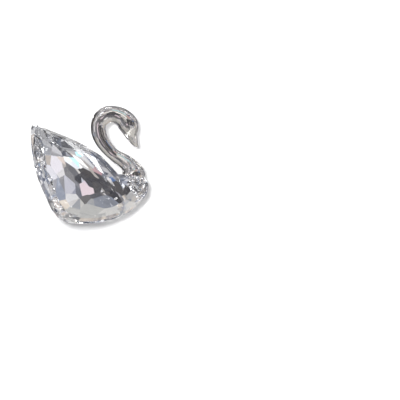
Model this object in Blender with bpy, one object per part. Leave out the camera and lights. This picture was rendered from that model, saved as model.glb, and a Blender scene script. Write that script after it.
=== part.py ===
"""A clear glass swan figurine: a faceted body, and a smooth neck with a head, cemented into its breast.

Metres, +Z up. The swan looks along +X, is the same on both sides of the XZ plane, and stands on Z = 0.
"""

import math

import bmesh
import bpy
from mathutils import Vector

MM = 0.001

# The body is one piece of glass, ground as two blocks: the wings and belly, and the breast in front of them.
# Each outline is X and Z in mm, clockwise from the tail or from behind the neck. True marks a sharp corner.
WING_OUTLINE = (
    (-29.9, 51.3, True),
    (-16.8, 45.5, False),
    (-5.6, 40.6, False),
    (5.0, 34.3, False),
    (9.8, 30.0, False),
    (13.2, 25.9, False),
    (17.2, 21.6, False),
    (22.4, 16.2, False),
    (26.4, 11.4, True),
    (22.6, 7.0, False),
    (15.5, 3.0, False),
    (7.0, 0.3, False),
    (-2.0, -0.9, False),
    (-10.5, 0.0, False),
    (-16.6, 3.8, False),
    (-22.4, 14.0, False),
    (-26.9, 25.5, False),
    (-29.2, 38.0, False),
)
BREAST_OUTLINE = (
    (11.0, 24.6, True),
    (18.0, 24.3, False),
    (27.6, 23.3, True),
    (29.4, 21.3, False),
    (30.0, 18.2, False),
    (29.0, 14.2, False),
    (26.2, 10.6, False),
    (21.0, 7.2, False),
    (10.0, 4.6, True),
    (8.0, 14.0, False),
)
WING_MIDDLE = (2.0, 20.0)
BREAST_MIDDLE = (18.0, 15.5)
WING_HALF_WIDTH = 16.05
BREAST_HALF_WIDTH = 12.4
OUTLINE_STEPS = 4
FULLNESS = 2.3
SIDE_RINGS = 9

# Facet rows: the lift of the row, its first and last bearing, the number of facets, the depth of each in mm,
# and the turn of each facet, to one side and the other by turns. A lift of 0 degrees lies on the outline and
# 90 on the middle of the flank. Bearings run from 0 in front over 90 on top to 180 behind.
WING_FACETS = (
    (9.0, 14.0, 230.0, 19, 0.20, 0.0),
    (24.0, 8.0, 224.0, 16, 0.36, 0.0),
    (40.0, -2.0, 228.0, 13, 0.50, 3.0),
    (56.0, -10.0, 240.0, 12, 0.55, 4.0),
    (70.0, 0.0, 327.0, 12, 0.50, 4.0),
    (83.0, 20.0, 335.0, 8, 0.42, 3.0),
    (20.0, 243.0, 299.0, 7, 0.14, 0.0),
)
BREAST_FACETS = (
    (13.0, -50.0, 26.0, 5, 0.18, 0.0),
    (36.0, -36.0, 38.0, 4, 0.40, 0.0),
    (62.0, -28.0, 28.0, 2, 0.45, 0.0),
)
WING_FLANK_CUT = 0.45
BREAST_FLANK_CUT = 0.5

# The groove between the wings: X and Z of its floor at the tail and at the neck, its floor's width and its
# walls' lean.
GROOVE_TAIL = (-32.0, 35.2)
GROOVE_NECK = (9.5, 31.0)
GROOVE_FLOOR = 1.2
GROOVE_LEAN = 21.5

# The neck's middle line from foot to beak: X, Z and radius in mm.
NECK_LINE = (
    (23.4, 14.6, 0.7),
    (23.4, 15.4, 2.2),
    (23.4, 17.8, 3.6),
    (23.3, 20.3, 4.3),
    (23.1, 21.7, 5.1),
    (22.9, 22.9, 5.8),
    (22.7, 24.2, 6.0),
    (22.3, 25.7, 5.6),
    (21.5, 27.3, 4.85),
    (20.3, 28.9, 4.25),
    (18.7, 30.3, 3.85),
    (16.9, 31.5, 3.55),
    (14.2, 33.2, 3.25),
    (11.3, 35.4, 3.1),
    (8.9, 38.0, 3.3),
    (6.7, 41.05, 3.5),
    (5.25, 44.4, 3.7),
    (4.75, 47.7, 3.75),
    (5.15, 50.2, 3.85),
    (6.4, 52.2, 4.15),
    (9.45, 54.25, 4.2),
    (12.9, 54.35, 4.2),
    (15.9, 53.4, 4.5),
    (18.5, 51.5, 4.9),
    (20.3, 48.95, 5.1),
    (21.15, 46.35, 4.35),
    (21.75, 43.95, 3.1),
    (22.65, 41.75, 2.25),
    (23.7, 39.85, 1.55),
    (24.9, 38.2, 0.6),
)
NECK_SIDES = 20
NECK_STEPS = 4
SEAT_GAP = 0.3
HEAD_LOWEST = 36.0
HEAD_FROM = 11.0
HEAD_FADE = 6.0
HEAD_NARROWING = 0.93


def clear_scene() -> None:
    """Removes everything that the startup scene holds."""
    for found in list(bpy.data.objects):
        bpy.data.objects.remove(found, do_unlink=True)


def new_collection(name: str, hidden: bool) -> bpy.types.Collection:
    """Adds a collection, left out of renders if hidden."""
    made = bpy.data.collections.new(name)
    made.hide_render = hidden
    bpy.context.scene.collection.children.link(made)
    return made


def glass(name: str, colour: tuple, roughness: float) -> bpy.types.Material:
    """A clear glass of one tint and polish."""
    made = bpy.data.materials.new(name)
    made.use_nodes = True
    shader = made.node_tree.nodes["Principled BSDF"]
    shader.inputs["Base Color"].default_value = (*colour, 1.0)
    shader.inputs["Metallic"].default_value = 0.0
    shader.inputs["Roughness"].default_value = roughness
    shader.inputs["IOR"].default_value = 1.55
    shader.inputs["Transmission Weight"].default_value = 1.0
    return made


def point_of(x: float, z: float) -> Vector:
    """A point of the middle plane, from millimetres."""
    return Vector((x * MM, 0.0, z * MM))


def curve_through(name: str, points: list, steps: int, cyclic: bool) -> bpy.types.Curve:
    """A smooth curve through (position, radius, corner) points, with a straight handle at each corner."""
    curve = bpy.data.curves.new(name, "CURVE")
    curve.dimensions = "3D"
    curve.resolution_u = steps
    spline = curve.splines.new("BEZIER")
    spline.bezier_points.add(len(points) - 1)
    spline.use_cyclic_u = cyclic
    spline.radius_interpolation = "CARDINAL"
    for knot, (position, radius, corner) in zip(spline.bezier_points, points):
        knot.co = position
        knot.radius = radius
        kind = "VECTOR" if corner else "AUTO"
        knot.handle_left_type = kind
        knot.handle_right_type = kind
    return curve


def mesh_of(curve: bpy.types.Curve) -> bpy.types.Mesh:
    """The mesh that a curve evaluates to. The curve itself is removed."""
    holder = bpy.data.objects.new(curve.name, curve)
    bpy.context.scene.collection.objects.link(holder)
    bpy.context.view_layer.update()
    seen = holder.evaluated_get(bpy.context.evaluated_depsgraph_get())
    mesh = bpy.data.meshes.new_from_object(seen)
    bpy.data.objects.remove(holder, do_unlink=True)
    bpy.data.curves.remove(curve)
    return mesh


class Block:
    """One half of a ground block: a side outline that shrinks toward a flat on the flank."""

    def __init__(self, name: str, outline: tuple, middle: tuple, half_width: float) -> None:
        knots = [(point_of(x, z), 1.0, corner) for x, z, corner in outline]
        mesh = mesh_of(curve_through(name, knots, OUTLINE_STEPS, True))
        self.outline = [vertex.co.copy() for vertex in mesh.vertices]
        bpy.data.meshes.remove(mesh)
        self.name = name
        self.middle = point_of(*middle)
        self.half_width = half_width * MM
        self.mesh = self.uncut()

    def share(self, lift: float) -> tuple:
        """How far the outline has shrunk at a lift, and how far that ring stands off the middle plane."""
        power = 2.0 / FULLNESS
        angle = math.radians(lift)
        return max(math.cos(angle), 0.0) ** power, self.half_width * math.sin(angle) ** power

    def reach(self, ray: Vector) -> float:
        """How far the outline lies from the middle along a ray."""
        best = 0.0
        for here, there in zip(self.outline, self.outline[1:] + self.outline[:1]):
            side = there - here
            start = here - self.middle
            across = ray.x * side.z - ray.z * side.x
            if abs(across) < 1e-12:
                continue
            along = (start.x * side.z - start.z * side.x) / across
            part = (start.x * ray.z - start.z * ray.x) / across
            if along > 0.0 and -1e-6 <= part <= 1.0 + 1e-6:
                best = max(best, along)
        return best

    def at(self, bearing: float, lift: float) -> Vector:
        """The uncut surface's point at a bearing round the middle and a lift above the outline."""
        ray = Vector((math.cos(math.radians(bearing)), 0.0, math.sin(math.radians(bearing))))
        shrink, height = self.share(lift)
        return self.middle + ray * (self.reach(ray) * shrink) + Vector((0.0, -height, 0.0))

    def uncut(self) -> bmesh.types.BMesh:
        """The outline, extruded and shrunk step by step to the flank."""
        mesh = bmesh.new()
        face = mesh.faces.new([mesh.verts.new(point) for point in self.outline])
        last = 1.0
        for ring in range(1, SIDE_RINGS + 1):
            shrink, height = self.share(90.0 * ring / (SIDE_RINGS + 1))
            grown = bmesh.ops.extrude_face_region(mesh, geom=[face])["geom"]
            if ring > 1:
                bmesh.ops.delete(mesh, geom=[face], context="FACES_ONLY")
            face = next(item for item in grown if isinstance(item, bmesh.types.BMFace))
            for vertex in face.verts:
                flat = Vector((vertex.co.x, 0.0, vertex.co.z))
                vertex.co = self.middle + (flat - self.middle) * (shrink / last)
                vertex.co.y = -height
            last = shrink
        bmesh.ops.recalc_face_normals(mesh, faces=mesh.faces)
        return mesh

    def cut(self, point: Vector, normal: Vector) -> None:
        """Grinds one flat facet: takes away what lies beyond the plane, and closes the cut."""
        mesh = self.mesh
        geometry = list(mesh.verts) + list(mesh.edges) + list(mesh.faces)
        bmesh.ops.bisect_plane(
            mesh, geom=geometry, dist=1e-7, plane_co=point, plane_no=normal, clear_outer=True
        )
        rim = [edge for edge in mesh.edges if edge.is_boundary]
        bmesh.ops.holes_fill(mesh, edges=rim, sides=0)

    def cut_rows(self, rows: tuple, flank_cut: float) -> None:
        """Cuts every row of facets, and then the flat of the flank."""
        for lift, first, last, count, depth, twist in rows:
            for index in range(count):
                lean = math.tan(math.radians(twist if index % 2 else -twist))
                bearing = first + (last - first) * index / (count - 1)
                here = self.at(bearing, lift)
                round_way = self.at(bearing + 2.0, lift) - self.at(bearing - 2.0, lift)
                up_way = self.at(bearing, lift + 2.0) - self.at(bearing, lift - 2.0)
                normal = up_way.cross(round_way).normalized()
                if normal.dot(here - self.middle) < 0.0:
                    normal = -normal
                normal = (normal + round_way.normalized() * lean).normalized()
                self.cut(here - normal * (depth * MM), normal)
        self.cut(Vector((0.0, flank_cut * MM - self.half_width, 0.0)), Vector((0.0, -1.0, 0.0)))

    def whole(self) -> bmesh.types.BMesh:
        """Opens the half block at the middle plane and joins its mirror image to it."""
        mesh = self.mesh
        inner = [face for face in mesh.faces if all(abs(vertex.co.y) < 1e-7 for vertex in face.verts)]
        bmesh.ops.delete(mesh, geom=inner, context="FACES_ONLY")
        everything = list(mesh.verts) + list(mesh.edges) + list(mesh.faces)
        bmesh.ops.mirror(mesh, geom=everything, axis="Y", merge_dist=1e-6)
        bmesh.ops.recalc_face_normals(mesh, faces=mesh.faces)
        return mesh


def groove_cutter(into: bpy.types.Collection) -> bpy.types.Object:
    """The wedge that parts the wings: a flat floor and two walls that lean outward."""
    mesh = bmesh.new()
    bmesh.ops.create_cube(mesh, size=1.0)
    height = 40.0
    spread = height * math.tan(math.radians(GROOVE_LEAN))
    for vertex in mesh.verts:
        x, z = GROOVE_NECK if vertex.co.x > 0.0 else GROOVE_TAIL
        half = GROOVE_FLOOR / 2.0 + (spread if vertex.co.z > 0.0 else 0.0)
        z += height if vertex.co.z > 0.0 else 0.0
        vertex.co = Vector((x * MM, math.copysign(half, vertex.co.y) * MM, z * MM))
    return place("groove_cutter", mesh, into)


def place(name: str, mesh: bmesh.types.BMesh, into: bpy.types.Collection) -> bpy.types.Object:
    """Turns an edit mesh into an object of a collection."""
    data = bpy.data.meshes.new(name)
    mesh.to_mesh(data)
    mesh.free()
    made = bpy.data.objects.new(name, data)
    into.objects.link(made)
    if into.hide_render:
        made.display_type = "WIRE"
        made.hide_render = True
    return made


def neck_mesh(name: str, grow: float) -> bmesh.types.BMesh:
    """The neck with its foot, head and beak, grown all round by a clearance in mm."""
    knots = []
    for index, (x, z, radius) in enumerate(NECK_LINE):
        lowered = z - grow if index == 0 else z
        knots.append((point_of(x, lowered), (radius + grow) * MM, False))
    curve = curve_through(name, knots, NECK_STEPS, False)
    curve.bevel_depth = 1.0
    curve.bevel_resolution = NECK_SIDES // 2 - 2
    curve.use_fill_caps = True
    data = mesh_of(curve)
    mesh = bmesh.new()
    mesh.from_mesh(data)
    bpy.data.meshes.remove(data)
    bmesh.ops.remove_doubles(mesh, verts=mesh.verts, dist=1e-6)
    bmesh.ops.recalc_face_normals(mesh, faces=mesh.faces)
    return mesh


def narrow_head(mesh: bmesh.types.BMesh) -> None:
    """Draws the head and beak in from both sides, fading out along the arch of the neck."""
    for vertex in mesh.verts:
        if vertex.co.z < HEAD_LOWEST * MM:
            continue
        share = min(max((vertex.co.x / MM - HEAD_FROM) / HEAD_FADE, 0.0), 1.0)
        vertex.co.y *= 1.0 - (1.0 - HEAD_NARROWING) * share


def combine(target: bpy.types.Object, other: bpy.types.Object, operation: str) -> None:
    """Adds an exact Boolean to an object."""
    modifier = target.modifiers.new(other.name, "BOOLEAN")
    modifier.operation = operation
    modifier.solver = "EXACT"
    modifier.object = other


def build_body(parts: bpy.types.Collection, cutters: bpy.types.Collection) -> None:
    """The faceted body with both wings, the flat that it stands on and the seat for the neck."""
    wings = Block("wings", WING_OUTLINE, WING_MIDDLE, WING_HALF_WIDTH)
    wings.cut_rows(WING_FACETS, WING_FLANK_CUT)
    wings.cut(Vector((0.0, 0.0, 0.0)), Vector((0.0, 0.0, -1.0)))
    breast = Block("breast", BREAST_OUTLINE, BREAST_MIDDLE, BREAST_HALF_WIDTH)
    breast.cut_rows(BREAST_FACETS, BREAST_FLANK_CUT)
    body = place("faceted_body", wings.whole(), parts)
    body.data.materials.append(glass("cut_crystal", (0.95, 0.96, 0.96), 0.01))
    combine(body, place("breast_block", breast.whole(), cutters), "UNION")
    combine(body, groove_cutter(cutters), "DIFFERENCE")
    combine(body, place("seat_cutter", neck_mesh("seat", SEAT_GAP), cutters), "DIFFERENCE")


def build_neck(parts: bpy.types.Collection) -> None:
    """The smooth neck and head, whose foot stands in the seat with the clearance all round."""
    mesh = neck_mesh("neck", 0.0)
    narrow_head(mesh)
    neck = place("neck_and_head", mesh, parts)
    neck.data.materials.append(glass("smooth_glass", (0.92, 0.93, 0.92), 0.03))
    for polygon in neck.data.polygons:
        polygon.use_smooth = len(polygon.vertices) == 4


def main() -> None:
    """Builds the swan in a cleared scene."""
    clear_scene()
    parts = new_collection("glass_swan", False)
    cutters = new_collection("cutters", True)
    build_body(parts, cutters)
    build_neck(parts)


main()
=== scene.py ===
"""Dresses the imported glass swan: a cut crystal body with its wings, and a smooth neck with the head.

Metres, +Z up. The swan looks along +X and is the same on both sides of the XZ plane.
"""

import logging
import math
from dataclasses import dataclass, field
from enum import Enum

import bmesh
import bpy
from mathutils import Matrix, Quaternion, Vector


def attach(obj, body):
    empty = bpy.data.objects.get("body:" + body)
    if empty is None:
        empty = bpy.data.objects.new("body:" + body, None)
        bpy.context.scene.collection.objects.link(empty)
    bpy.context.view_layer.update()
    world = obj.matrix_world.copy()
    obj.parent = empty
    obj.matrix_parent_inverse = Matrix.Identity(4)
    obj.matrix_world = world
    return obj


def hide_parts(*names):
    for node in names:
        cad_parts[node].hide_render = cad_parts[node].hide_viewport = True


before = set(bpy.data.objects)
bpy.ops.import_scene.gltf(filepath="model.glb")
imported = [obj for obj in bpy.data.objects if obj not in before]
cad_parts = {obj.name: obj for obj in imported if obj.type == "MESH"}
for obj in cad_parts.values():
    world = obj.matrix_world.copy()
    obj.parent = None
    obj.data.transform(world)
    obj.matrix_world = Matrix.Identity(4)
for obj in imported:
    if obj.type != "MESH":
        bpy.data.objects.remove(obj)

MM = 0.001
SAME_PLACE = 1e-7
WELD = 1e-6
PARALLEL = 1e-12
LOG = logging.getLogger("swan")


class Combine(Enum):
    """How one solid acts on another."""

    JOIN = "UNION"
    CUT = "DIFFERENCE"


class Bend(Enum):
    """How a drawn line runs through one of its points."""

    SMOOTH = "AUTO"
    SHARP = "VECTOR"


def flat_point(x: float, z: float) -> Vector:
    """A point of the swan's middle plane.

    Args:
        x: Millimetres toward the breast.
        z: Millimetres above the floor.

    Returns:
        The point in metres.
    """
    return Vector((x * MM, 0.0, z * MM))


def new_nodes(holder: bpy.types.ID) -> bpy.types.NodeTree:
    """Gives a material or a world an empty node tree.

    Args:
        holder: The material or world.

    Returns:
        Its node tree, without nodes.
    """
    holder.use_nodes = True
    holder.node_tree.nodes.clear()
    return holder.node_tree


def loose_object(name: str, mesh: bmesh.types.BMesh) -> bpy.types.Object:
    """Turns an edit mesh into an object at the origin.

    Args:
        name: The object's name.
        mesh: The edit mesh, which is freed.

    Returns:
        The object, linked to the scene.
    """
    data = bpy.data.meshes.new(name)
    mesh.to_mesh(data)
    mesh.free()
    made = bpy.data.objects.new(name, data)
    bpy.context.scene.collection.objects.link(made)
    return made


def drawn_line(
    name: str, points: list[tuple[Vector, float, Bend]], steps: int, closed: bool
) -> bpy.types.Curve:
    """Draws a curve through points.

    Args:
        name: The curve's name.
        points: Place, radius and bend of each point.
        steps: Steps between two points.
        closed: Whether the line runs back to its start.

    Returns:
        The curve data.
    """
    curve = bpy.data.curves.new(name, "CURVE")
    curve.dimensions = "3D"
    curve.resolution_u = steps
    spline = curve.splines.new("BEZIER")
    spline.bezier_points.add(len(points) - 1)
    spline.use_cyclic_u = closed
    spline.radius_interpolation = "CARDINAL"
    for knot, (place, radius, bend) in zip(spline.bezier_points, points):
        knot.co = place
        knot.radius = radius
        knot.handle_left_type = bend.value
        knot.handle_right_type = bend.value
    return curve


def evaluated_mesh(holder: bpy.types.Object) -> bpy.types.Mesh:
    """The mesh that an object evaluates to, with its modifiers.

    Args:
        holder: The object, which is removed.

    Returns:
        The new mesh data.
    """
    bpy.context.view_layer.update()
    seen = holder.evaluated_get(bpy.context.evaluated_depsgraph_get())
    mesh = bpy.data.meshes.new_from_object(seen)
    bpy.data.objects.remove(holder, do_unlink=True)
    return mesh


def mesh_of_curve(curve: bpy.types.Curve) -> bmesh.types.BMesh:
    """Turns curve data into an edit mesh.

    Args:
        curve: The curve data, which is removed.

    Returns:
        The edit mesh.
    """
    holder = bpy.data.objects.new(curve.name, curve)
    bpy.context.scene.collection.objects.link(holder)
    data = evaluated_mesh(holder)
    bpy.data.curves.remove(curve)
    mesh = bmesh.new()
    mesh.from_mesh(data)
    bpy.data.meshes.remove(data)
    return mesh


@dataclass(frozen=True)
class Glass:
    """A clear glass with a grey tint that paints in shade, darkening what is seen through it, and with its
    polish and bending power.
    """

    name: str
    painted_shade_tint: tuple[float, float, float]
    ior: float
    roughness: float

    def material(self) -> bpy.types.Material:
        """Builds the material.

        Returns:
            The material.
        """
        made = bpy.data.materials.new(self.name)
        tree = new_nodes(made)
        shader = tree.nodes.new("ShaderNodeBsdfPrincipled")
        # The grey base colour is painted shade: it darkens everything seen through the glass.
        shader.inputs["Base Color"].default_value = (*self.painted_shade_tint, 1.0)
        shader.inputs["Roughness"].default_value = self.roughness
        shader.inputs["IOR"].default_value = self.ior
        shader.inputs["Metallic"].default_value = 0.0
        shader.inputs["Transmission Weight"].default_value = 1.0
        output = tree.nodes.new("ShaderNodeOutputMaterial")
        tree.links.new(shader.outputs["BSDF"], output.inputs["Surface"])
        return made


@dataclass(frozen=True)
class FacetRow:
    """One row of flat facets round a block."""

    lift: float
    first: float
    last: float
    count: int
    depth: float
    twist: float = 0.0

    def bearings(self) -> list[float]:
        """The bearing of each facet, in degrees."""
        step = (self.last - self.first) / (self.count - 1)
        return [self.first + step * index for index in range(self.count)]


@dataclass
class Block:
    """One half of a ground block: a side outline that shrinks toward a flat on the flank."""

    name: str
    outline: tuple[tuple[float, float, Bend], ...]
    middle: tuple[float, float]
    half_width: float
    rows: tuple[FacetRow, ...]
    flank_cut: float
    fullness: float = 2.3
    steps: int = 4
    rings: int = 9
    near: float = 2.0
    rim: list[Vector] = field(default_factory=list)
    mesh: bmesh.types.BMesh | None = None

    def ring(self, lift: float) -> tuple[float, float]:
        """Works out the shrunken outline at one lift.

        Args:
            lift: Degrees up the side: 0 on the outline, 90 on the flank's middle.

        Returns:
            The share that is left of the outline, and how far it stands off the middle plane.
        """
        power = 2.0 / self.fullness
        angle = math.radians(lift)
        return max(math.cos(angle), 0.0) ** power, self.half_width * MM * math.sin(angle) ** power

    def reach(self, ray: Vector) -> float:
        """Measures the outline.

        Args:
            ray: A direction of the middle plane.

        Returns:
            How far the outline lies from the block's middle along the ray.
        """
        centre = flat_point(*self.middle)
        best = 0.0
        for here, there in zip(self.rim, self.rim[1:] + self.rim[:1]):
            side = there - here
            start = here - centre
            across = ray.x * side.z - ray.z * side.x
            if abs(across) < PARALLEL:
                continue
            along = (start.x * side.z - start.z * side.x) / across
            part = (start.x * ray.z - start.z * ray.x) / across
            if along > 0.0 and -WELD <= part <= 1.0 + WELD:
                best = max(best, along)
        return best

    def at(self, bearing: float, lift: float) -> Vector:
        """Finds a point of the uncut surface.

        Args:
            bearing: Degrees round the middle: 0 in front, 90 on top, 180 behind.
            lift: Degrees up the side: 0 on the outline, 90 on the flank's middle.

        Returns:
            The point.
        """
        ray = Vector((math.cos(math.radians(bearing)), 0.0, math.sin(math.radians(bearing))))
        shrink, height = self.ring(lift)
        return flat_point(*self.middle) + ray * (self.reach(ray) * shrink) + Vector((0.0, -height, 0.0))

    def blank(self) -> None:
        """Extrudes the outline and shrinks it step by step to the flank."""
        points = [(flat_point(x, z), 1.0, bend) for x, z, bend in self.outline]
        line = mesh_of_curve(drawn_line(self.name, points, self.steps, True))
        self.rim = [vertex.co.copy() for vertex in line.verts]
        line.free()
        mesh = bmesh.new()
        face = mesh.faces.new([mesh.verts.new(point) for point in self.rim])
        centre = flat_point(*self.middle)
        last = 1.0
        for index in range(1, self.rings + 1):
            shrink, height = self.ring(90.0 * index / (self.rings + 1))
            grown = bmesh.ops.extrude_face_region(mesh, geom=[face])["geom"]
            if index > 1:
                bmesh.ops.delete(mesh, geom=[face], context="FACES_ONLY")
            face = next(item for item in grown if isinstance(item, bmesh.types.BMFace))
            for vertex in face.verts:
                level = Vector((vertex.co.x, 0.0, vertex.co.z))
                vertex.co = centre + (level - centre) * (shrink / last)
                vertex.co.y = -height
            last = shrink
        bmesh.ops.recalc_face_normals(mesh, faces=mesh.faces)
        self.mesh = mesh

    def grind(self, point: Vector, normal: Vector) -> None:
        """Grinds one flat facet.

        Args:
            point: A point of the facet's plane.
            normal: The way that the facet faces.
        """
        everything = list(self.mesh.verts) + list(self.mesh.edges) + list(self.mesh.faces)
        bmesh.ops.bisect_plane(
            self.mesh, geom=everything, dist=SAME_PLACE, plane_co=point, plane_no=normal, clear_outer=True
        )
        open_edges = [edge for edge in self.mesh.edges if edge.is_boundary]
        bmesh.ops.holes_fill(self.mesh, edges=open_edges, sides=0)

    def grind_row(self, row: FacetRow) -> None:
        """Grinds the facets of one row, each square to the uncut surface but for the row's twist.

        Args:
            row: The row.
        """
        side = math.tan(math.radians(row.twist))
        near = self.near
        for index, bearing in enumerate(row.bearings()):
            here = self.at(bearing, row.lift)
            round_way = self.at(bearing + near, row.lift) - self.at(bearing - near, row.lift)
            up_way = self.at(bearing, row.lift + near) - self.at(bearing, row.lift - near)
            normal = up_way.cross(round_way).normalized()
            if normal.dot(here - flat_point(*self.middle)) < 0.0:
                normal = -normal
            normal = (normal + round_way.normalized() * (side if index % 2 else -side)).normalized()
            self.grind(here - normal * (row.depth * MM), normal)

    def whole(self) -> bmesh.types.BMesh:
        """Shapes the half, grinds its facets, and joins its mirror image to it.

        Returns:
            The closed block.
        """
        self.blank()
        for row in self.rows:
            self.grind_row(row)
        flank = Vector((0.0, (self.flank_cut - self.half_width) * MM, 0.0))
        self.grind(flank, Vector((0.0, -1.0, 0.0)))
        self.grind(Vector((0.0, 0.0, 0.0)), Vector((0.0, 0.0, -1.0)))
        mesh = self.mesh
        inner = [face for face in mesh.faces if all(abs(vertex.co.y) < SAME_PLACE for vertex in face.verts)]
        bmesh.ops.delete(mesh, geom=inner, context="FACES_ONLY")
        everything = list(mesh.verts) + list(mesh.edges) + list(mesh.faces)
        bmesh.ops.mirror(mesh, geom=everything, axis="Y", merge_dist=WELD)
        bmesh.ops.recalc_face_normals(mesh, faces=mesh.faces)
        return mesh


def wing_block() -> Block:
    """Describes the block that holds both wings and the belly.

    Returns:
        The block, not yet shaped.
    """
    smooth, sharp = Bend.SMOOTH, Bend.SHARP
    return Block(
        name="wings",
        outline=(
            (-29.9, 51.3, sharp),
            (-16.8, 45.5, smooth),
            (-5.6, 40.6, smooth),
            (5.0, 34.3, smooth),
            (9.8, 30.0, smooth),
            (13.2, 25.9, smooth),
            (17.2, 21.6, smooth),
            (22.4, 16.2, smooth),
            (26.4, 11.4, sharp),
            (22.6, 7.0, smooth),
            (15.5, 3.0, smooth),
            (7.0, 0.3, smooth),
            (-2.0, -0.9, smooth),
            (-10.5, 0.0, smooth),
            (-16.6, 3.8, smooth),
            (-22.4, 14.0, smooth),
            (-26.9, 25.5, smooth),
            (-29.2, 38.0, smooth),
        ),
        middle=(2.0, 20.0),
        half_width=16.05,
        rows=(
            FacetRow(9.0, 14.0, 230.0, 19, 0.2),
            FacetRow(24.0, 8.0, 224.0, 16, 0.36),
            FacetRow(40.0, -2.0, 228.0, 13, 0.5, 3.0),
            FacetRow(56.0, -10.0, 240.0, 12, 0.55, 4.0),
            FacetRow(70.0, 0.0, 327.0, 12, 0.5, 4.0),
            FacetRow(83.0, 20.0, 335.0, 8, 0.42, 3.0),
            FacetRow(20.0, 243.0, 299.0, 7, 0.14),
        ),
        flank_cut=0.45,
    )


def breast_block() -> Block:
    """Describes the block of the breast, in front of the wings.

    Returns:
        The block, not yet shaped.
    """
    smooth, sharp = Bend.SMOOTH, Bend.SHARP
    return Block(
        name="breast",
        outline=(
            (11.0, 24.6, sharp),
            (18.0, 24.3, smooth),
            (27.6, 23.3, sharp),
            (29.4, 21.3, smooth),
            (30.0, 18.2, smooth),
            (29.0, 14.2, smooth),
            (26.2, 10.6, smooth),
            (21.0, 7.2, smooth),
            (10.0, 4.6, sharp),
            (8.0, 14.0, smooth),
        ),
        middle=(18.0, 15.5),
        half_width=12.4,
        rows=(
            FacetRow(13.0, -50.0, 26.0, 5, 0.18),
            FacetRow(36.0, -36.0, 38.0, 4, 0.40),
            FacetRow(62.0, -28.0, 28.0, 2, 0.45),
        ),
        flank_cut=0.5,
    )


@dataclass
class Groove:
    """The wedge that parts the wings: a narrow floor and two walls that lean outward."""

    tail: tuple[float, float] = (-32.0, 35.2)
    neck: tuple[float, float] = (9.5, 31.0)
    floor: float = 1.2
    lean: float = 21.5
    height: float = 40.0

    def cutter(self) -> bpy.types.Object:
        """Shapes a cube into the wedge.

        Returns:
            The cutter.
        """
        mesh = bmesh.new()
        bmesh.ops.create_cube(mesh, size=1.0)
        spread = self.height * math.tan(math.radians(self.lean))
        for vertex in mesh.verts:
            x, z = self.neck if vertex.co.x > 0.0 else self.tail
            upper = vertex.co.z > 0.0
            half = self.floor / 2.0 + (spread if upper else 0.0)
            place = Vector((x, math.copysign(half, vertex.co.y), z + (self.height if upper else 0.0)))
            vertex.co = place * MM
        return loose_object("groove_wedge", mesh)


@dataclass
class NeckAndHead:
    """The smooth neck with its foot, head and beak, drawn out of one rod."""

    stations: tuple[tuple[float, float, float], ...] = (
        (23.4, 14.6, 0.7),
        (23.4, 15.4, 2.2),
        (23.4, 17.8, 3.6),
        (23.3, 20.3, 4.3),
        (23.1, 21.7, 5.1),
        (22.9, 22.9, 5.8),
        (22.7, 24.2, 6.0),
        (22.3, 25.7, 5.6),
        (21.5, 27.3, 4.85),
        (20.3, 28.9, 4.25),
        (18.7, 30.3, 3.85),
        (16.9, 31.5, 3.55),
        (14.2, 33.2, 3.25),
        (11.3, 35.4, 3.1),
        (8.9, 38.0, 3.3),
        (6.7, 41.05, 3.5),
        (5.25, 44.4, 3.7),
        (4.75, 47.7, 3.75),
        (5.15, 50.2, 3.85),
        (6.4, 52.2, 4.15),
        (9.45, 54.25, 4.2),
        (12.9, 54.35, 4.2),
        (15.9, 53.4, 4.5),
        (18.5, 51.5, 4.9),
        (20.3, 48.95, 5.1),
        (21.15, 46.35, 4.35),
        (21.75, 43.95, 3.1),
        (22.65, 41.75, 2.25),
        (23.7, 39.85, 1.55),
        (24.9, 38.2, 0.6),
    )
    sides: int = 48
    steps: int = 10
    head_lowest: float = 36.0
    head_from: float = 11.0
    head_fade: float = 6.0
    head_narrowing: float = 0.93

    def rod(self, name: str, grow: float) -> bmesh.types.BMesh:
        """Sweeps a round section along the stations.

        Args:
            name: The name of the line it is drawn on.
            grow: Millimetres added all round.

        Returns:
            The closed rod.
        """
        points = []
        for index, (x, z, radius) in enumerate(self.stations):
            lowered = z - grow if index == 0 else z
            points.append((flat_point(x, lowered), (radius + grow) * MM, Bend.SMOOTH))
        curve = drawn_line(name, points, self.steps, False)
        curve.bevel_depth = 1.0
        curve.bevel_resolution = self.sides // 2 - 2
        curve.use_fill_caps = True
        mesh = mesh_of_curve(curve)
        bmesh.ops.remove_doubles(mesh, verts=mesh.verts, dist=WELD)
        bmesh.ops.recalc_face_normals(mesh, faces=mesh.faces)
        return mesh

    def narrow_head(self, mesh: bmesh.types.BMesh) -> None:
        """Draws the head and beak in from both sides.

        Args:
            mesh: The rod, which is changed.
        """
        for vertex in mesh.verts:
            if vertex.co.z < self.head_lowest * MM:
                continue
            share = min(max((vertex.co.x / MM - self.head_from) / self.head_fade, 0.0), 1.0)
            vertex.co.y *= 1.0 - (1.0 - self.head_narrowing) * share

    def build(self, finish: Glass) -> bpy.types.Object:
        """Builds and dresses the neck and head.

        Args:
            finish: Their glass.

        Returns:
            The finished piece.
        """
        mesh = self.rod("neck_line", 0.0)
        self.narrow_head(mesh)
        for face in mesh.faces:
            face.smooth = len(face.verts) <= 4
        piece = loose_object("smooth_neck_and_head", mesh)
        piece.data.materials.append(finish.material())
        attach(piece, "root")
        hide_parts("neck_and_head")
        return piece


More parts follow.
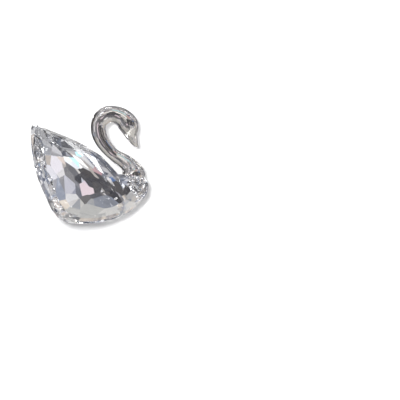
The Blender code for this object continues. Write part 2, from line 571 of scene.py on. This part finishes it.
@dataclass
class CutBody:
    """The faceted body: two blocks in one piece of glass, the wings' groove and the neck's seat."""

    wings: Block
    breast: Block
    groove: Groove
    neck: NeckAndHead
    seat_gap: float = 0.3

    def combine(self, body: bpy.types.Object, other: bpy.types.Object, how: Combine) -> None:
        """Adds an exact Boolean to the body.

        Args:
            body: The body.
            other: The solid that acts on it.
            how: What it does.
        """
        modifier = body.modifiers.new(other.name, "BOOLEAN")
        modifier.operation = how.value
        modifier.solver = "EXACT"
        modifier.object = other

    def build(self, finish: Glass) -> bpy.types.Object:
        """Builds and dresses the body.

        Args:
            finish: Its glass.

        Returns:
            The finished piece.
        """
        rough = loose_object("wing_block", self.wings.whole())
        others = [
            (loose_object("breast_block", self.breast.whole()), Combine.JOIN),
            (self.groove.cutter(), Combine.CUT),
            (loose_object("seat", self.neck.rod("seat_line", self.seat_gap)), Combine.CUT),
        ]
        for other, how in others:
            self.combine(rough, other, how)
        data = evaluated_mesh(rough)
        for other, _ in others:
            bpy.data.objects.remove(other, do_unlink=True)
        piece = bpy.data.objects.new("crystal_body", data)
        bpy.context.scene.collection.objects.link(piece)
        data.materials.clear()
        data.materials.append(finish.material())
        for polygon in data.polygons:
            polygon.use_smooth = False
        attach(piece, "root")
        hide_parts("faceted_body")
        return piece


@dataclass(frozen=True)
class Lamp:
    """A soft box."""

    name: str
    place: tuple[float, float, float]
    size: tuple[float, float]
    power: float
    in_glass: bool = True
    aim: tuple[float, float, float] = (0.0, 0.0, 0.03)

    def build(self) -> bpy.types.Object:
        """Hangs the soft box in its place, turned toward its aim.

        Returns:
            The lamp.
        """
        light = bpy.data.lights.new(self.name, "AREA")
        light.shape = "RECTANGLE"
        light.size, light.size_y = self.size
        light.energy = self.power
        made = bpy.data.objects.new(self.name, light)
        made.location = self.place
        away = Vector(self.place) - Vector(self.aim)
        made.rotation_euler = away.to_track_quat("Z", "Y").to_euler()
        made.visible_camera = False
        made.visible_glossy = self.in_glass
        made.visible_transmission = self.in_glass
        bpy.context.scene.collection.objects.link(made)
        return made


@dataclass(frozen=True)
class Card:
    """A card or screen that stands behind the swan, seen through its glass."""

    name: str
    azimuth: float
    elevation: float
    half_width: float
    half_height: float
    colour: tuple[float, float, float]
    roll: float = 0.0

    def axes(self) -> tuple[Vector, Vector, Vector]:
        """Works out how the card hangs.

        Returns:
            The ways across, up and toward the card, the first two divided by its half sizes.
        """
        turn, tilt = math.radians(self.azimuth), math.radians(self.elevation)
        toward = Vector((math.sin(turn) * math.cos(tilt), -math.cos(turn) * math.cos(tilt), math.sin(tilt)))
        level = Vector((math.cos(turn), math.sin(turn), 0.0))
        spin = Quaternion(toward, math.radians(self.roll))
        across = spin @ level / math.sin(math.radians(self.half_width))
        up = spin @ level.cross(toward) / math.sin(math.radians(self.half_height))
        return across, up, toward


def colour_ramp(tree: bpy.types.NodeTree, stops: tuple) -> bpy.types.Node:
    """Adds a colour ramp.

    Args:
        tree: The node tree.
        stops: Position and colour of each stop.

    Returns:
        The ramp's node.
    """
    made = tree.nodes.new("ShaderNodeValToRGB")
    elements = made.color_ramp.elements
    while len(elements) < len(stops):
        elements.new(0.5)
    for element, (position, colour) in zip(elements, stops):
        element.position = position
        element.color = (*colour, 1.0)
    return made


def patch_pick() -> bpy.types.NodeTree:
    """Gives the node group that picks a patch, and builds it the first time.

    Returns:
        The group: a direction or place, a scale and a shift in, the patch's own number out.
    """
    group = bpy.data.node_groups.get("patch_pick")
    if group:
        return group
    group = bpy.data.node_groups.new("patch_pick", "ShaderNodeTree")
    group.interface.new_socket("Where", in_out="INPUT", socket_type="NodeSocketVector")
    group.interface.new_socket("Scale", in_out="INPUT", socket_type="NodeSocketFloat")
    group.interface.new_socket("Shift", in_out="INPUT", socket_type="NodeSocketVector")
    group.interface.new_socket("Pick", in_out="OUTPUT", socket_type="NodeSocketFloat")
    nodes, link = group.nodes, group.links.new
    given = nodes.new("NodeGroupInput")
    place = nodes.new("ShaderNodeMapping")
    link(given.outputs["Where"], place.inputs["Vector"])
    link(given.outputs["Shift"], place.inputs["Location"])
    cells = nodes.new("ShaderNodeTexVoronoi")
    link(place.outputs["Vector"], cells.inputs["Vector"])
    link(given.outputs["Scale"], cells.inputs["Scale"])
    split = nodes.new("ShaderNodeSeparateColor")
    link(cells.outputs["Color"], split.inputs["Color"])
    result = nodes.new("NodeGroupOutput")
    link(split.outputs["Red"], result.inputs["Pick"])
    return group


@dataclass(frozen=True)
class Patchwork:
    """Flats and gaps of many tones, side by side."""

    scale: float
    shift: tuple[float, float, float]
    levels: tuple[tuple[float, tuple[float, float, float]], ...]

    def colour(self, tree: bpy.types.NodeTree, where: bpy.types.NodeSocket) -> bpy.types.NodeSocket:
        """Builds the patchwork's colour.

        Args:
            tree: The node tree.
            where: The direction or place that picks the flat.

        Returns:
            The colour socket.
        """
        pick = tree.nodes.new("ShaderNodeGroup")
        pick.node_tree = patch_pick()
        pick.inputs["Scale"].default_value = self.scale
        pick.inputs["Shift"].default_value = self.shift
        tree.links.new(where, pick.inputs["Where"])
        ramp = colour_ramp(tree, self.levels)
        tree.links.new(pick.outputs["Pick"], ramp.inputs["Fac"])
        return ramp.outputs["Color"]


def card_mask() -> bpy.types.NodeTree:
    """Builds the node group that masks one card.

    Returns:
        The group: a direction and a card's three axes in, a mask out.
    """
    group = bpy.data.node_groups.new("card_mask", "ShaderNodeTree")
    for name in ("Direction", "Across", "Up", "Toward"):
        group.interface.new_socket(name, in_out="INPUT", socket_type="NodeSocketVector")
    group.interface.new_socket("Mask", in_out="OUTPUT", socket_type="NodeSocketFloat")
    nodes, link = group.nodes, group.links.new
    given = nodes.new("NodeGroupInput")
    result = nodes.new("NodeGroupOutput")
    parts = []
    for name, limit in (("Across", "LESS_THAN"), ("Up", "LESS_THAN"), ("Toward", "GREATER_THAN")):
        share = nodes.new("ShaderNodeVectorMath")
        share.operation = "DOT_PRODUCT"
        link(given.outputs["Direction"], share.inputs[0])
        link(given.outputs[name], share.inputs[1])
        value = share.outputs["Value"]
        test = nodes.new("ShaderNodeMath")
        test.operation = limit
        test.inputs[1].default_value = 1.0 if limit == "LESS_THAN" else 0.0
        if limit == "LESS_THAN":
            size = nodes.new("ShaderNodeMath")
            size.operation = "ABSOLUTE"
            link(value, size.inputs[0])
            value = size.outputs["Value"]
        link(value, test.inputs[0])
        parts.append(test.outputs["Value"])
    mask = parts[0]
    for part in parts[1:]:
        both = nodes.new("ShaderNodeMath")
        both.operation = "MULTIPLY"
        link(mask, both.inputs[0])
        link(part, both.inputs[1])
        mask = both.outputs["Value"]
    link(mask, result.inputs["Mask"])
    return group


@dataclass(frozen=True)
class Room:
    """What the glass mirrors and bends: flats and gaps all round, a wall, and cards behind the swan."""

    flats: Patchwork = Patchwork(
        scale=16.0,
        shift=(-2.62, 0.39, 1.62),
        levels=(
            (0.0, (0.08, 0.08, 0.1)),
            (0.2, (0.22, 0.24, 0.3)),
            (0.36, (0.42, 0.46, 0.56)),
            (0.52, (0.6, 0.53, 0.48)),
            (0.66, (0.6, 0.6, 0.61)),
            (0.82, (0.9, 0.88, 0.9)),
            (1.0, (1.4, 1.4, 1.4)),
        ),
    )
    grain: Patchwork = Patchwork(
        scale=56.0,
        shift=(0.3, 0.7, 0.1),
        levels=(
            (0.0, (0.6, 0.62, 0.68)),
            (0.3, (0.84, 0.86, 0.92)),
            (0.6, (1.0, 0.98, 0.95)),
            (0.85, (1.12, 1.1, 1.08)),
            (1.0, (1.35, 1.35, 1.35)),
        ),
    )
    grain_mask: tuple[tuple[float, float], ...] = (
        (0.0, 1.0),
        (0.33, 1.0),
        (0.38, 0.15),
        (0.62, 0.15),
        (0.68, 1.0),
    )
    wall_mask: tuple[tuple[float, float], ...] = (
        (0.0, 0.0),
        (0.2, 0.0),
        (0.28, 1.0),
        (0.66, 1.0),
        (0.76, 0.0),
    )
    wall_colour: tuple[float, float, float] = (0.58, 0.575, 0.555)
    cards: tuple[Card, ...] = (
        Card("right flat", 100.0, 0.0, 30.5, 30.0, (0.06, 0.06, 0.065)),
        Card("left flat", 250.0, 0.0, 22.0, 30.0, (0.08, 0.08, 0.085)),
        Card("lavender card", 147.0, 6.0, 3.2, 2.6, (0.5, 0.5, 0.57)),
        Card("white card", 144.0, 0.5, 2.2, 2.6, (1.25, 1.18, 1.2), 12.0),
        Card("sky card", 131.5, 9.5, 2.6, 2.2, (0.62, 0.7, 0.85), 15.0),
        Card("snow card", 133.0, 5.5, 2.2, 1.8, (1.1, 1.08, 1.12)),
        Card("cream card", 136.5, 15.5, 3.2, 1.8, (0.85, 0.77, 0.68)),
        Card("sand card", 145.0, 10.5, 2.6, 1.6, (0.74, 0.68, 0.65)),
        Card("grey card", 153.5, 1.0, 4.8, 6.5, (0.22, 0.22, 0.24)),
        Card("ceiling card", 155.0, 62.0, 40.0, 11.0, (0.78, 0.69, 0.6)),
        Card("drape", 126.0, 41.0, 14.0, 14.0, (0.14, 0.143, 0.16)),
        Card("pale card", 186.0, 27.0, 15.0, 12.0, (0.8, 0.78, 0.75)),
        Card("fawn card", 152.0, -1.8, 3.4, 2.8, (0.52, 0.49, 0.48)),
        Card("lower screen", 164.0, 9.5, 7.2, 5.0, (0.18, 0.175, 0.18)),
        Card("dark screen", 176.5, -5.0, 18.5, 7.8, (0.085, 0.08, 0.085), -4.0),
        Card("first slat", 171.3, -1.8, 1.0, 3.4, (0.5, 0.48, 0.455)),
        Card("second slat", 185.3, -4.0, 1.2, 4.2, (0.5, 0.48, 0.455)),
        Card("pink card", 162.6, 2.6, 3.2, 2.6, (0.98, 0.84, 0.91)),
        Card("blue card", 188.5, -11.5, 2.6, 2.8, (0.16, 0.26, 0.5), 20.0),
        Card("tan card", 171.5, -16.5, 5.0, 3.0, (0.62, 0.56, 0.5), 10.0),
        Card("mist card", 160.5, -5.5, 3.8, 3.2, (0.62, 0.6, 0.58)),
        Card("blush card", 161.0, -11.0, 4.0, 2.5, (0.95, 0.84, 0.8)),
        Card("bright kite", 162.5, -8.5, 2.6, 1.5, (1.4, 1.4, 1.4)),
        Card("rose card", 177.2, -18.6, 2.5, 2.1, (0.85, 0.48, 0.48), 30.0),
        Card("white kite", 166.0, -13.0, 2.8, 2.2, (1.5, 1.5, 1.5), 40.0),
        Card("cyan kite", 170.0, -20.5, 3.0, 2.0, (0.8, 1.25, 1.35), 15.0),
        Card("slate card", 171.5, 16.5, 3.2, 1.8, (0.26, 0.28, 0.33)),
        Card("beige card", 154.0, 18.0, 2.6, 2.0, (0.78, 0.72, 0.68)),
        Card("glint", 175.0, 13.5, 2.0, 0.9, (1.4, 1.4, 1.4), 10.0),
        Card("stone card", 198.0, 6.0, 5.0, 5.0, (0.75, 0.68, 0.6), 15.0),
    )

    def colour(self, tree: bpy.types.NodeTree) -> bpy.types.NodeSocket:
        """Builds the room's colour in a world's nodes.

        Args:
            tree: The world's node tree.

        Returns:
            The colour socket.
        """
        way = tree.nodes.new("ShaderNodeTexCoord").outputs["Generated"]
        flats = self.flats.colour(tree, way)
        walled = self.wall(tree, way, flats)
        hung = self.hang_cards(tree, way, walled)
        grained = tree.nodes.new("ShaderNodeMix")
        grained.data_type = "RGBA"
        grained.blend_type = "MULTIPLY"
        tree.links.new(self.band(tree, way, self.grain_mask), grained.inputs["Factor"])
        tree.links.new(hung, grained.inputs["A"])
        tree.links.new(self.grain.colour(tree, way), grained.inputs["B"])
        return grained.outputs["Result"]

    def mixed(
        self,
        tree: bpy.types.NodeTree,
        mask: bpy.types.NodeSocket,
        below: bpy.types.NodeSocket,
        colour: tuple[float, float, float],
    ) -> bpy.types.NodeSocket:
        """Lays one colour over another where a mask says so.

        Args:
            tree: The world's node tree.
            mask: The mask.
            below: The colour underneath.
            colour: The colour laid over it.

        Returns:
            The mixed colour.
        """
        mix = tree.nodes.new("ShaderNodeMix")
        mix.data_type = "RGBA"
        tree.links.new(mask, mix.inputs["Factor"])
        tree.links.new(below, mix.inputs["A"])
        mix.inputs["B"].default_value = (*colour, 1.0)
        return mix.outputs["Result"]

    def wall(
        self, tree: bpy.types.NodeTree, way: bpy.types.NodeSocket, below: bpy.types.NodeSocket
    ) -> bpy.types.NodeSocket:
        """Runs a plain wall round the room, above the height of the swan.

        Args:
            tree: The world's node tree.
            way: The direction.
            below: The colour without the wall.

        Returns:
            The colour with it.
        """
        return self.mixed(tree, self.band(tree, way, self.wall_mask), below, self.wall_colour)

    def band(
        self, tree: bpy.types.NodeTree, way: bpy.types.NodeSocket, shares: tuple[tuple[float, float], ...]
    ) -> bpy.types.NodeSocket:
        """Masks the room by height.

        Args:
            tree: The world's node tree.
            way: The direction.
            shares: Height, from 0 at eye level to 1 overhead, and share of each stop.

        Returns:
            The mask.
        """
        height = tree.nodes.new("ShaderNodeSeparateXYZ")
        tree.links.new(way, height.inputs["Vector"])
        mask = colour_ramp(tree, tuple((stop, (share, share, share)) for stop, share in shares))
        tree.links.new(height.outputs["Z"], mask.inputs["Fac"])
        return mask.outputs["Color"]

    def hang_cards(
        self, tree: bpy.types.NodeTree, way: bpy.types.NodeSocket, below: bpy.types.NodeSocket
    ) -> bpy.types.NodeSocket:
        """Hangs the cards, each over those before it.

        Args:
            tree: The world's node tree.
            way: The direction.
            below: The colour without the cards.

        Returns:
            The colour with them.
        """
        group = card_mask()
        for card in self.cards:
            across, up, toward = card.axes()
            mask = tree.nodes.new("ShaderNodeGroup")
            mask.node_tree = group
            mask.label = card.name
            tree.links.new(way, mask.inputs["Direction"])
            mask.inputs["Across"].default_value = across
            mask.inputs["Up"].default_value = up
            mask.inputs["Toward"].default_value = toward
            below = self.mixed(tree, mask.outputs["Mask"], below, card.colour)
        return below


@dataclass
class Studio:
    """The pale floor, the room's light, the soft boxes and the camera."""

    lamps: tuple[Lamp, ...] = (
        Lamp("key", (-0.42, -0.42, 0.62), (0.34, 0.34), 5.0),
        Lamp("side", (0.55, -0.2, 0.75), (0.12, 0.4), 1.6),
        Lamp("top", (0.05, 0.25, 0.95), (0.4, 0.16), 3.0),
        Lamp("shadow", (-0.39, -1.13, 0.165), (0.17, 0.17), 31.0, in_glass=False),
    )
    room: Room = Room()
    scraps: Patchwork = Patchwork(
        scale=90.0,
        shift=(0.458, -0.093, 0.489),
        levels=(
            (0.0, (0.03, 0.03, 0.035)),
            (0.22, (0.08, 0.085, 0.11)),
            (0.38, (0.2, 0.22, 0.28)),
            (0.5, (0.34, 0.4, 0.52)),
            (0.58, (0.56, 0.48, 0.42)),
            (0.68, (0.5, 0.5, 0.52)),
            (0.82, (0.75, 0.75, 0.77)),
            (1.0, (1.2, 1.2, 1.2)),
        ),
    )
    floor_half: float = 4.0
    floor_paint: float = 0.45
    floor_glow: float = 0.55
    scraps_paint: float = 0.58
    scraps_glow: float = 0.33
    floor_slant: tuple[float, float] = (0.87, 0.9)
    floor_fade: tuple[float, float] = (0.045, 0.09)
    backdrop_half: float = 1.5
    backdrop_behind: float = 0.018
    backdrop_paint: float = 0.35
    backdrop_glow: float = 0.3
    azimuth: float = -15.0
    elevation: float = 1.0
    distance: float = 2.0
    sight: float = 20.0
    sensor: float = 36.0
    frame_width: float = 0.2
    aside: float = 0.0555
    up: float = 0.0115
    bounces: int = 24
    glass_bounces: int = 20

    def world(self) -> None:
        """Builds the room's light, and white where the camera looks past the swan."""
        made = bpy.data.worlds.new("studio_room")
        bpy.context.scene.world = made
        tree = new_nodes(made)
        nodes, link = tree.nodes, tree.links.new
        walls = nodes.new("ShaderNodeBackground")
        link(self.room.colour(tree), walls.inputs["Color"])
        white = nodes.new("ShaderNodeBackground")
        white.inputs["Color"].default_value = (1.0, 1.0, 1.0, 1.0)
        path = nodes.new("ShaderNodeLightPath")
        looks = path.outputs["Is Camera Ray"]
        mix = self.either(tree, looks, walls.outputs["Background"], white.outputs["Background"])
        output = nodes.new("ShaderNodeOutputWorld")
        link(mix, output.inputs["Surface"])

    def floor(self) -> bpy.types.Object:
        """Lays the floor: half its brightness is its own, so that it stays white and only the shadow shows.

        Returns:
            The floor.
        """
        mesh = bmesh.new()
        bmesh.ops.create_grid(mesh, x_segments=1, y_segments=1, size=self.floor_half)
        made = loose_object("floor", mesh)
        material = bpy.data.materials.new("pale_floor")
        tree = new_nodes(material)
        nodes, link = tree.nodes, tree.links.new
        path = nodes.new("ShaderNodeLightPath")
        where = nodes.new("ShaderNodeTexCoord").outputs["Object"]
        open_air = nodes.new("ShaderNodeBsdfTransparent").outputs["BSDF"]
        white = nodes.new("ShaderNodeEmission").outputs["Emission"]
        looks = path.outputs["Is Camera Ray"]
        near = self.near_floor(tree, looks, where)
        far = self.either(tree, looks, open_air, white)
        both = self.either(tree, self.far_share(tree, where), near, far)
        clear = self.either(tree, self.clear_share(tree, path), both, open_air)
        output = nodes.new("ShaderNodeOutputMaterial")
        link(clear, output.inputs["Surface"])
        made.data.materials.append(material)
        return made

    def either(
        self,
        tree: bpy.types.NodeTree,
        share: bpy.types.NodeSocket,
        first: bpy.types.NodeSocket,
        second: bpy.types.NodeSocket,
    ) -> bpy.types.NodeSocket:
        """Mixes two shaders.

        Args:
            tree: The material's node tree.
            share: The share of the second.
            first: The first shader.
            second: The second shader.

        Returns:
            The mixed shader.
        """
        mix = tree.nodes.new("ShaderNodeMixShader")
        tree.links.new(share, mix.inputs["Fac"])
        tree.links.new(first, mix.inputs[1])
        tree.links.new(second, mix.inputs[2])
        return mix.outputs["Shader"]

    def near_floor(
        self, tree: bpy.types.NodeTree, looks: bpy.types.NodeSocket, where: bpy.types.NodeSocket
    ) -> bpy.types.NodeSocket:
        """Builds the floor close round the swan: white to the camera, scraps of many tones to the glass.

        Args:
            tree: The floor's node tree.
            looks: Whether the camera looks at it.
            where: The place on the floor.

        Returns:
            The shader.
        """
        nodes, link = tree.nodes, tree.links.new
        scraps = self.scraps.colour(tree, where)
        paint = nodes.new("ShaderNodeBsdfDiffuse")
        glow = nodes.new("ShaderNodeEmission")
        for shader, seen, strength in (
            (paint, self.floor_paint, self.scraps_paint),
            (glow, self.floor_glow, self.scraps_glow),
        ):
            dimmed = nodes.new("ShaderNodeVectorMath")
            dimmed.operation = "SCALE"
            dimmed.inputs["Scale"].default_value = strength
            link(scraps, dimmed.inputs[0])
            colour = nodes.new("ShaderNodeMix")
            colour.data_type = "RGBA"
            link(looks, colour.inputs["Factor"])
            link(dimmed.outputs["Vector"], colour.inputs["A"])
            colour.inputs["B"].default_value = (seen, seen, seen, 1.0)
            link(colour.outputs["Result"], shader.inputs["Color"])
        near = nodes.new("ShaderNodeAddShader")
        link(paint.outputs["BSDF"], near.inputs[0])
        link(glow.outputs["Emission"], near.inputs[1])
        return near.outputs["Shader"]

    def far_share(self, tree: bpy.types.NodeTree, where: bpy.types.NodeSocket) -> bpy.types.NodeSocket:
        """Works out how much of the floor is far from the swan.

        Args:
            tree: The floor's node tree.
            where: The place on the floor.

        Returns:
            The share: 0 near the swan, 1 far from it.
        """
        length = tree.nodes.new("ShaderNodeVectorMath")
        length.operation = "LENGTH"
        tree.links.new(where, length.inputs[0])
        return self.smooth_step(tree, length.outputs["Value"], self.floor_fade)

    def smooth_step(
        self, tree: bpy.types.NodeTree, value: bpy.types.NodeSocket, between: tuple[float, float]
    ) -> bpy.types.NodeSocket:
        """Runs a value smoothly from 0 to 1.

        Args:
            tree: The node tree.
            value: The value.
            between: Where it leaves 0, and where it reaches 1.

        Returns:
            The result.
        """
        edge = tree.nodes.new("ShaderNodeMapRange")
        edge.interpolation_type = "SMOOTHSTEP"
        edge.inputs["From Min"].default_value, edge.inputs["From Max"].default_value = between
        tree.links.new(value, edge.inputs["Value"])
        return edge.outputs["Result"]

    def clear_share(self, tree: bpy.types.NodeTree, path: bpy.types.Node) -> bpy.types.NodeSocket:
        """Works out where the floor is clear: to the lamps, and to a camera that looks along it.

        Args:
            tree: The floor's node tree.
            path: Its light path node.

        Returns:
            The share of clear floor.
        """
        nodes, link = tree.nodes, tree.links.new
        slant = nodes.new("ShaderNodeLayerWeight").outputs["Facing"]
        along = nodes.new("ShaderNodeMath")
        along.operation = "MULTIPLY"
        link(self.smooth_step(tree, slant, self.floor_slant), along.inputs[0])
        link(path.outputs["Is Camera Ray"], along.inputs[1])
        share = nodes.new("ShaderNodeMath")
        share.operation = "MAXIMUM"
        link(along.outputs["Value"], share.inputs[0])
        link(path.outputs["Is Shadow Ray"], share.inputs[1])
        return share.outputs["Value"]

    def backdrop(self) -> bpy.types.Object:
        """Hangs a white sheet close behind the swan, for its shadow. Only the camera sees it, from the front.

        Returns:
            The backdrop.
        """
        mesh = bmesh.new()
        bmesh.ops.create_grid(mesh, x_segments=1, y_segments=1, size=self.backdrop_half)
        upright = Matrix.Rotation(math.radians(90.0), 4, "X")
        turn = Matrix.Rotation(math.radians(self.azimuth), 4, "Z") @ upright
        bmesh.ops.transform(mesh, matrix=turn, verts=mesh.verts)
        azimuth = math.radians(self.azimuth)
        behind = Vector((-math.sin(azimuth), math.cos(azimuth), 0.0))
        bmesh.ops.translate(mesh, vec=behind * self.backdrop_behind, verts=mesh.verts)
        made = loose_object("backdrop", mesh)
        material = bpy.data.materials.new("white_sheet")
        tree = new_nodes(material)
        nodes, link = tree.nodes, tree.links.new
        paint = nodes.new("ShaderNodeBsdfDiffuse")
        paint.inputs["Color"].default_value = (*(self.backdrop_paint,) * 3, 1.0)
        glow = nodes.new("ShaderNodeEmission")
        glow.inputs["Strength"].default_value = self.backdrop_glow
        sheet = nodes.new("ShaderNodeAddShader")
        link(paint.outputs["BSDF"], sheet.inputs[0])
        link(glow.outputs["Emission"], sheet.inputs[1])
        path = nodes.new("ShaderNodeLightPath")
        side = nodes.new("ShaderNodeNewGeometry")
        front = nodes.new("ShaderNodeMath")
        front.operation = "SUBTRACT"
        link(path.outputs["Is Camera Ray"], front.inputs[0])
        link(side.outputs["Backfacing"], front.inputs[1])
        open_air = nodes.new("ShaderNodeBsdfTransparent").outputs["BSDF"]
        both = self.either(tree, front.outputs["Value"], open_air, sheet.outputs["Shader"])
        output = nodes.new("ShaderNodeOutputMaterial")
        link(both, output.inputs["Surface"])
        made.data.materials.append(material)
        return made

    def camera(self) -> bpy.types.Object:
        """Sets the camera up at the photograph's angle, aimed beside the swan.

        Returns:
            The camera.
        """
        turn, tilt = math.radians(self.azimuth), math.radians(self.elevation)
        back = Vector((math.sin(turn) * math.cos(tilt), -math.cos(turn) * math.cos(tilt), math.sin(tilt)))
        right = Vector((math.cos(turn), math.sin(turn), 0.0))
        up = back.cross(right)
        made = bpy.data.objects.new("camera", bpy.data.cameras.new("camera"))
        made.data.sensor_width = self.sensor
        made.data.lens = self.sensor * self.distance / self.frame_width
        made.data.clip_end = self.sight
        made.location = right * self.aside + up * self.up + back * self.distance
        made.rotation_euler = back.to_track_quat("Z", "Y").to_euler()
        bpy.context.scene.collection.objects.link(made)
        bpy.context.scene.camera = made
        return made

    def build(self) -> None:
        """Builds the whole studio."""
        self.camera()
        self.world()
        self.floor()
        self.backdrop()
        for lamp in self.lamps:
            lamp.build()
        bpy.context.scene.view_settings.view_transform = "Standard"
        light_paths = bpy.context.scene.cycles
        light_paths.max_bounces = self.bounces
        light_paths.glossy_bounces = self.glass_bounces
        light_paths.transmission_bounces = self.glass_bounces


def main() -> None:
    """Builds the studio and both pieces."""
    logging.basicConfig(level=logging.INFO, format="%(message)s")
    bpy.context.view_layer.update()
    Studio().build()
    LOG.info("studio built")
    neck = NeckAndHead()
    body = CutBody(wing_block(), breast_block(), Groove(), neck)
    for piece in (
        # Both tints are painted shade. The crystal's pale grey and the neck's darker, warmer grey darken what
        # is seen through each glass.
        body.build(Glass("cut_crystal", (0.84, 0.845, 0.855), 1.56, 0.0)),
        neck.build(Glass("smooth_glass", (0.68, 0.663, 0.638), 1.52, 0.0)),
    ):
        LOG.info("%s: %d faces", piece.name, len(piece.data.polygons))


if __name__ == "__main__":
    main()
